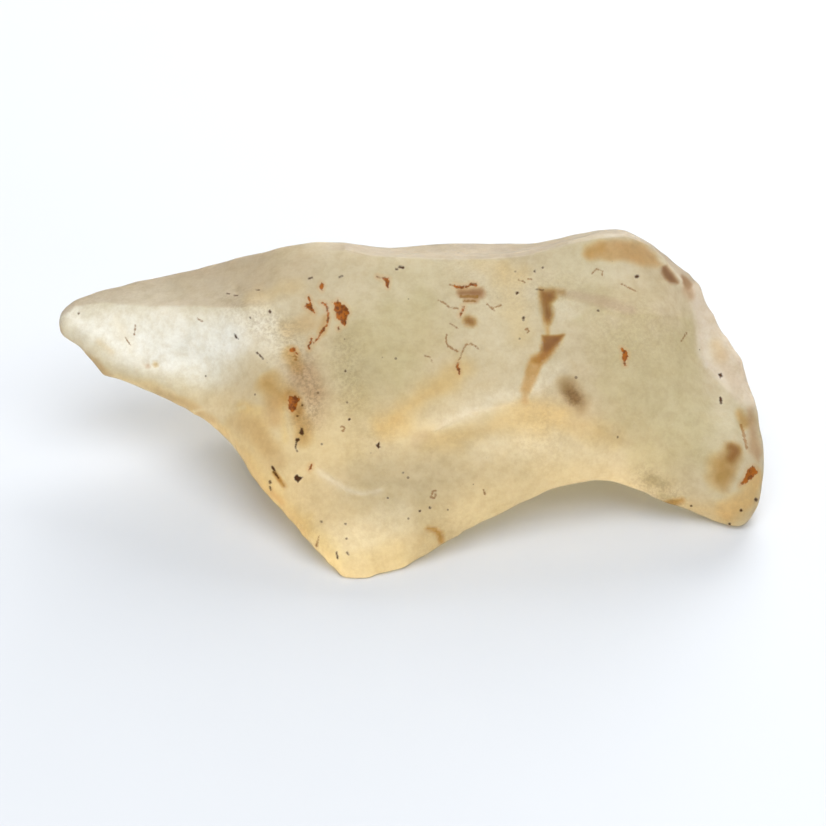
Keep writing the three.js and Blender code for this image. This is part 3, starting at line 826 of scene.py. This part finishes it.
def skin_fields(places, pixels, normals, seen, hidden):
    """The depth in each kind of mark, the roughness, the milkiness and the tint of each vertex."""
    fields = {}
    for name, shapes in MARKS.items():
        fields[name] = mark_field(pixels, seen, shapes)
        add_hidden(fields[name], places, seen, hidden[name])
    strength, size, seed, low, high = SCATTERED
    scattered = strength * smooth(noise(places, size, seed), low, high)
    fields["rough"] = soft_field(scattered, ROUGH, pixels, normals)
    fields["milky"] = soft_field(np.full(len(places), MILKINESS), MILKY, pixels, normals)
    return fields | dict(zip(TINT_CHANNELS, tint_of(places, pixels, normals).T))


def worn(places, pixels, normals, fields):
    """The places with sand wear, broad relief and marks, all sunk along the normals."""
    sink = sum(depth * noise(places, size, seed) for depth, size, seed in SAND_WEAR)
    depth, size, seed = FINE_WEAR
    sink += depth * noise(places, size, seed) * (1 + ROUGH_WEAR * fields["rough"])
    sink += relief_of(pixels, facing_share(normals)) * MM
    for name, depth, low, high in PITS:
        sink += depth * smooth(fields[name], low, high)
    above_table = np.clip(places[:, 2] / FLATS, 0, 1)
    places = places - normals * (sink * above_table)[:, None]
    places[:, 2] = np.maximum(places[:, 2], 0)
    return places


def build_skin(node):
    """The places, the triangles and the fields of the worn skin."""
    places, triangles = smoothed(*welded(node))
    normals = normals_of(places, triangles)
    facing = (normals @ TOWARDS_CAMERA) > 0
    hidden = all_hidden_marks(places, normals, facing)
    target = longest_edges(places, facing, hidden)
    for _ in range(REFINE_STEPS):
        places, triangles, target = refined(places, triangles, target)
    normals = normals_of(places, triangles)
    pixels = pixels_of(places)
    seen = seen_by_camera(places, triangles, normals)
    fields = skin_fields(places, pixels, normals, seen, hidden)
    return worn(places, pixels, normals, fields), triangles, fields


def smoothed(places, triangles):
    """The mesh after Loop's steps, which keep its vertices nearly where they were."""
    sunk, _ = loop_steps(places, triangles)
    fine, finer = loop_steps(places + SHRINK_REPAIR * (places - sunk[: len(places)]), triangles)
    fine[:, 2] = np.maximum(fine[:, 2], 0)
    return fine, finer


def loop_steps(places, triangles):
    """The mesh after all of Loop's steps."""
    for _ in range(SKIN_LOOPS):
        places, triangles = loop_subdivided(places, triangles)
    return places, triangles


def facing_share(normals):
    """1 where the skin faces the photograph's camera, fading to 0 just behind the outline."""
    return smooth(normals @ TOWARDS_CAMERA, *FADE_BEHIND)


def soft_field(field, shapes, pixels, normals):
    """The field, raised to a shape's strength inside each of the shapes."""
    for strength, soft, shape in shapes:
        at = near(pixels, shape, 2 * soft)
        share = strength * smooth(depth_in(pixels[at], shape), -soft, soft) * facing_share(normals[at])
        field[at] = np.maximum(field[at], share)
    return field


def relief_of(pixels, facing):
    """How far the edges, ledges and hollows sink the skin, in millimetres."""
    sink = np.zeros(len(pixels))
    for height, width, line in EDGES:
        at = near(pixels, (0, line), EDGE_REACH * width)
        sink[at] -= height * np.exp(-distance_to_line(pixels[at], line) / width) * facing[at]
    for height, fade, line in LEDGES:
        at = near(pixels, (0, line), LEDGE_REACH * fade)
        side = side_of_line(pixels[at], line)
        away = distance_to_line(pixels[at], line)
        step = height * smooth(side * away, -LEDGE_STEP, LEDGE_STEP)
        sink[at] += step * np.exp(-((away / fade) ** 2)) * facing[at]
    for depth, (width, line) in HOLLOWS:
        at = near(pixels, (width, line), width)
        away = distance_to_line(pixels[at], line)
        sink[at] += depth * np.exp(-((away / (width / 2)) ** 2)) * facing[at]
    return sink


def side_of_line(pixels, line):
    """1 on the left of a line as seen in the photograph, going along it, and -1 on its right."""
    line = np.asarray(line, float)
    nearest = np.full(len(pixels), np.inf)
    side = np.zeros(len(pixels))
    for a, b in zip(line, line[1:]):
        along = np.clip((pixels - a) @ (b - a) / ((b - a) @ (b - a)), 0, 1)
        offset = pixels - a - along[:, None] * (b - a)
        away = np.linalg.norm(offset, axis=1)
        turn = (b - a)[0] * (pixels - a)[:, 1] - (b - a)[1] * (pixels - a)[:, 0]
        closer = away < nearest
        side[closer] = np.where(turn < 0, 1, -1)[closer]
        nearest = np.minimum(nearest, away)
    return side


def linear(red, green, blue):
    """A colour in the photograph's 0 to 255 values, made linear by the sRGB formula."""

    def one(value):
        value /= 255
        return value / 12.92 if value <= 0.04045 else ((value + 0.055) / 1.055) ** 2.4

    return (one(red), one(green), one(blue), 1)


TINT_CHANNELS = ("tint_red", "tint_green", "tint_blue")

# Tints of the skin, painted light and shade on it, and colours of what stains it or fills its pits.
BASE_TINT = linear(238, 231, 208)[:3]
COLOURS = {
    "base": BASE_TINT,
    # White stands for painted glow and painted highlights.
    "white": linear(255, 252, 240),
    "pale": linear(253, 249, 232),
    "cream": linear(252, 242, 212),
    "honey": linear(251, 230, 180),
    "gold": linear(255, 235, 174),
    "amber": linear(240, 210, 144),
    "olive": linear(223, 218, 178),
    "tan": linear(220, 205, 180),
    "grey": linear(226, 223, 208),
    "mauve": linear(210, 190, 168),
    "blush": linear(248, 240, 230),
    # Painted shade for faces of the glass that look up.
    "upward_face_shade": linear(200, 188, 170),
    "shade": linear(200, 172, 126),
    "flame": linear(255, 212, 136),
    "umber": linear(116, 58, 6),
    "bistre": linear(112, 66, 34),
    "ochre": linear(168, 98, 22),
    "light_ochre": linear(216, 172, 110),
    "rust_stain": linear(160, 90, 30),
    "plum": linear(130, 74, 36),
    "rose": linear(196, 156, 120),
    "grey_brown": linear(116, 80, 38),
    "grey_green": linear(176, 164, 124),
}
RUST = linear(160, 88, 6)
DEEP_RUST = linear(108, 55, 4)
DIRT = linear(70, 36, 0)
CRACK_BROWN = linear(140, 92, 20)

# What the clouds, the mottling and the grains let through of the red, green and blue.
CLOUD_FILTER = (0.68, 0.66, 0.53, 1)
MOTTLE_FILTER = (0.62, 0.5, 0.3, 1)
GRAIN_FILTER = (0.34, 0.26, 0.16, 1)


def tint_of(places, pixels, normals):
    """The skin's colour at each vertex: broad zones, soft stains and painted light and shade mixed over
    its base tint.
    """
    tint = np.tile(np.array(BASE_TINT), (len(places), 1))
    wander = sum(share * noise(places, size, seed) for share, size, seed in WANDER)
    facing = facing_share(normals)
    # A zone or stain works as a filter, so shares are powers.
    for name, strength, size, low, seed in HIDDEN_ZONES:
        lumps = noise(places, size * MM, seed) + HIDDEN_WANDER * wander
        share = strength * smooth(lumps, low, low + HIDDEN_SLOPE) * (1 - facing)
        tint *= (np.array(COLOURS[name][:3]) / tint) ** share[:, None]
    mean, change, size, seed = PATCHY
    patchy = mean + change * noise(places, size, seed)
    for name, strength, soft, shape in ZONES + STAINS:
        at = near(pixels, shape, 2 * soft)
        depth = depth_in(pixels[at], shape) + WANDER_SHARE * soft * wander[at]
        share = strength * smooth(depth, -soft, soft) * facing[at] * patchy[at]
        tint[at] *= (np.array(COLOURS[name][:3]) / tint[at]) ** share[:, None]
    return tint


def make_glass(node):
    """The splinter, in the frame of its CAD node."""
    places, triangles, fields = build_skin(node)
    mesh = bpy.data.meshes.new("glass_splinter")
    mesh.from_pydata(places.tolist(), [], triangles.tolist())
    mesh.polygons.foreach_set("use_smooth", np.ones(len(mesh.polygons), bool))
    for name, value in fields.items():
        attribute = mesh.attributes.new(name, "FLOAT", "POINT")
        attribute.data.foreach_set("value", value.astype(np.float32))
    glass = bpy.data.objects.new("glass_splinter", mesh)
    bpy.context.scene.collection.objects.link(glass)
    glass.data.materials.append(glass_material())
    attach(glass, "root")
    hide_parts("desert_glass")
    print("glass triangles", len(triangles))


MIX_SOCKETS = (0, 6, 7)  # a mix node's factor and its two colours


class Nodes:
    """Short names for making a material's nodes and links."""

    def __init__(self, material):
        self.tree = material.node_tree
        self.tree.nodes.clear()

    def add(self, kind, **values):
        """A node with its properties set, and its inputs set or linked by name."""
        node = self.tree.nodes.new(kind)
        inputs = values.pop("inputs", {})
        for name, value in values.items():
            setattr(node, name, value)
        for name, value in inputs.items():
            self.fill(node.inputs[name], value)
        return node

    def fill(self, socket, value):
        """The socket linked, or set to a value."""
        if isinstance(value, bpy.types.NodeSocket):
            self.tree.links.new(value, socket)
        else:
            socket.default_value = value

    def attribute(self, name):
        """A field of the skin."""
        return self.add("ShaderNodeAttribute", attribute_name=name).outputs["Fac"]

    def noise(self, size, detail, roughness=NOISE_ROUGHNESS):
        """A noise around 0.5, with lumps of that size."""
        place = self.add("ShaderNodeTexCoord").outputs["Object"]
        inputs = {"Vector": place, "Scale": 1 / size, "Detail": detail, "Roughness": roughness}
        return self.add("ShaderNodeTexNoise", inputs=inputs).outputs["Fac"]

    def patches(self, size, detail, roughness, low, high):
        """1 in patches of that noise and 0 between them."""
        return self.step(self.noise(size, detail, roughness), low, high)

    def specks(self, rough):
        """1 in scattered points of dirt, of which there are more where the skin is rough."""
        place = self.add("ShaderNodeTexCoord").outputs["Object"]
        cells = self.add("ShaderNodeTexVoronoi", inputs={"Vector": place, "Scale": 1 / SPECK_SPACING})
        number = self.add("ShaderNodeSeparateColor", inputs={"Color": cells.outputs["Color"]})
        radius = self.risen(SPECK_RADIUS, SPECK_SPREAD, number.outputs["Green"])
        point = self.step(self.math("SUBTRACT", cells.outputs["Distance"], radius), *SPECK_EDGE)
        filled = self.risen(SPECKS_SMOOTH, SPECKS_ROUGH, rough)
        return self.math("MULTIPLY", point, self.math("LESS_THAN", number.outputs["Red"], filled))

    def mark(self, name, ragged):
        """1 in the marks of that kind, whose edges are moved by that many pixels."""
        share, low, high = MARK_EDGES[name]
        moved = self.math("ADD", self.attribute(name), self.math("MULTIPLY", ragged, share))
        return self.step(moved, low, high)

    def math(self, operation, *values, clamp=False):
        """What a math node makes of the values."""
        inputs = dict(enumerate(values))
        return self.add("ShaderNodeMath", operation=operation, use_clamp=clamp, inputs=inputs).outputs[0]

    def risen(self, start, slope, value):
        """Start plus slope times the value."""
        return self.math("MULTIPLY_ADD", value, slope, start)

    def step(self, value, low, high):
        """0 below low and 1 above high, smooth between."""
        inputs = {"Value": value, "From Min": low, "From Max": high}
        return self.add("ShaderNodeMapRange", interpolation_type="SMOOTHSTEP", inputs=inputs).outputs[0]

    def mix(self, share, under, over, blend="MIX"):
        """That share of one colour over another, or of its product with it."""
        node = self.add("ShaderNodeMix", data_type="RGBA", blend_type=blend, clamp_factor=True)
        share_socket, under_socket, over_socket = (node.inputs[k] for k in MIX_SOCKETS)
        self.fill(share_socket, share)
        self.fill(under_socket, under)
        self.fill(over_socket, over)
        return node.outputs[2]


def skin_colour(n, marks, rough, milky):
    """The tint with clouds, grain and painted glints, and over it the marks."""
    channels = dict(zip(("Red", "Green", "Blue"), (n.attribute(name) for name in TINT_CHANNELS)))
    tint = n.add("ShaderNodeCombineColor", inputs=channels).outputs["Color"]
    clouds = n.math("MULTIPLY", n.patches(*CLOUDS), n.risen(CLOUD_SHARE, MILKY_CLOUDS, milky))
    colour = n.mix(clouds, tint, CLOUD_FILTER, "MULTIPLY")
    mottle = n.math("MULTIPLY", n.patches(*MOTTLE), MOTTLE_SHARE)
    colour = n.mix(mottle, colour, MOTTLE_FILTER, "MULTIPLY")
    grains = n.math("MULTIPLY", n.patches(*GRAINS), n.risen(GRAIN_SHARE, ROUGH_GRAINS, rough))
    colour = n.mix(grains, colour, GRAIN_FILTER, "MULTIPLY")
    # Painted glints, white points of painted highlight; darker glass has fewer of them.
    glints = n.math("MULTIPLY", n.patches(*PAINTED_GLINTS), n.math("POWER", channels["Green"], 2))
    glints = n.math("MULTIPLY", glints, n.risen(GLINT_SHARE, ROUGH_GLINTS, rough))
    colour = n.mix(glints, colour, COLOURS["white"])
    colour = n.mix(n.math("MULTIPLY", n.specks(rough), SPECK_SHARE), colour, DIRT)
    share, low, high = HALO
    halo = n.math("MULTIPLY", n.step(n.attribute("rust"), low, high), share)
    colour = n.mix(halo, colour, COLOURS["light_ochre"])
    colour = n.mix(n.math("MULTIPLY", marks["crack"], CRACK_SHARE), colour, CRACK_BROWN)
    colour = n.mix(marks["dirt"], colour, DIRT)
    return n.mix(marks["rust"], colour, n.mix(n.patches(*DEEP_RUST_PATCHES), RUST, DEEP_RUST))


def skin_clearness(n, marks, rough, milky):
    """How much light goes through the skin: none in rust and dirt."""
    opaque = n.math("MAXIMUM", marks["rust"], marks["dirt"])
    opaque = n.math("MAXIMUM", opaque, n.math("MULTIPLY", marks["crack"], CRACK_OPAQUE))
    opaque = n.math("MAXIMUM", opaque, n.math("MULTIPLY", rough, ROUGH_OPAQUE))
    opaque = n.math("MAXIMUM", opaque, milky)
    return n.math("SUBTRACT", CLEARNESS, n.math("MULTIPLY", opaque, CLEARNESS), clamp=True)


def skin_grain(n, rough):
    """The normal over the grain of the worn skin."""
    grain = n.risen(n.noise(*FINE_GRAIN), COARSE_SHARE, n.noise(*COARSE_GRAIN))
    strength = n.risen(GRAIN_STRENGTH, ROUGH_STRENGTH, rough)
    relief = {"Strength": strength, "Distance": GRAIN_DEPTH, "Height": grain}
    return n.add("ShaderNodeBump", inputs=relief).outputs[0]


def glass_material():
    """Frosted see-through glass, rusty where it is pitted and stained."""
    material = bpy.data.materials.new("frosted_desert_glass")
    material.use_nodes = True
    n = Nodes(material)
    # A noise moves the marks' edges by a pixel or so of the photograph, so that they are ragged.
    ragged = n.math("MULTIPLY", n.math("SUBTRACT", n.noise(*RAGGED_NOISE), NOISE_MEAN), RAGGED)
    marks = {name: n.mark(name, ragged) for name in MARKS}
    rough = n.attribute("rough")
    milky = n.attribute("milky")
    looks = {
        "Base Color": skin_colour(n, marks, rough, milky),
        "Roughness": n.risen(FROST, FROST_SPREAD, n.noise(*FROST_NOISE)),
        "IOR": IOR,
        "Specular IOR Level": REFLECTION,
        "Transmission Weight": skin_clearness(n, marks, rough, milky),
        "Normal": skin_grain(n, rough),
    }
    surface = n.add("ShaderNodeBsdfPrincipled", inputs=looks).outputs[0]
    inside = {"Color": ABSORPTION, "Density": ABSORPTION_DENSITY}
    body = n.add("ShaderNodeVolumeAbsorption", inputs=inside).outputs[0]
    n.add("ShaderNodeOutputMaterial", inputs={"Surface": surface, "Volume": body})
    return material


def make_table():
    """The white table that the piece lies on."""
    square = ((-1, -1), (1, -1), (1, 1), (-1, 1))
    corners = [(x * TABLE_HALF, y * TABLE_HALF, TABLE_HEIGHT) for x, y in square]
    mesh = bpy.data.meshes.new("table")
    mesh.from_pydata(corners, [], [(0, 1, 2, 3)])
    table = bpy.data.objects.new("table", mesh)
    bpy.context.scene.collection.objects.link(table)
    material = bpy.data.materials.new("white_table")
    material.use_nodes = True
    n = Nodes(material)
    colour = n.mix(n.noise(*TABLE_PATCHES), *TABLE_TINTS)
    matt = {"Base Color": colour, "Roughness": TABLE_ROUGHNESS}
    surface = n.add("ShaderNodeBsdfPrincipled", inputs=matt)
    n.add("ShaderNodeOutputMaterial", inputs={"Surface": surface.outputs[0]})
    table.data.materials.append(material)


def make_light():
    """A white room, and soft lights above and behind the piece."""
    world = bpy.data.worlds.new("room")
    bpy.context.scene.world = world
    world.use_nodes = True
    background = world.node_tree.nodes["Background"]
    background.inputs["Color"].default_value = ROOM_COLOUR
    background.inputs["Strength"].default_value = ROOM_LIGHT
    for name, power, side, towards in SOFTBOXES:
        light = bpy.data.lights.new(name, "AREA")
        light.shape = "SQUARE"
        light.size = side
        light.energy = power
        light.color = SOFTBOX_COLOUR
        softbox = bpy.data.objects.new(name, light)
        bpy.context.scene.collection.objects.link(softbox)
        direction = Vector(towards).normalized()
        softbox.location = direction * SOFTBOX_DISTANCE
        softbox.rotation_mode = "QUATERNION"
        softbox.rotation_quaternion = direction.to_track_quat("Z", "Y")


bpy.context.scene.view_settings.view_transform = "Standard"
make_camera()
make_table()
make_light()
make_glass(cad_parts["desert_glass"])
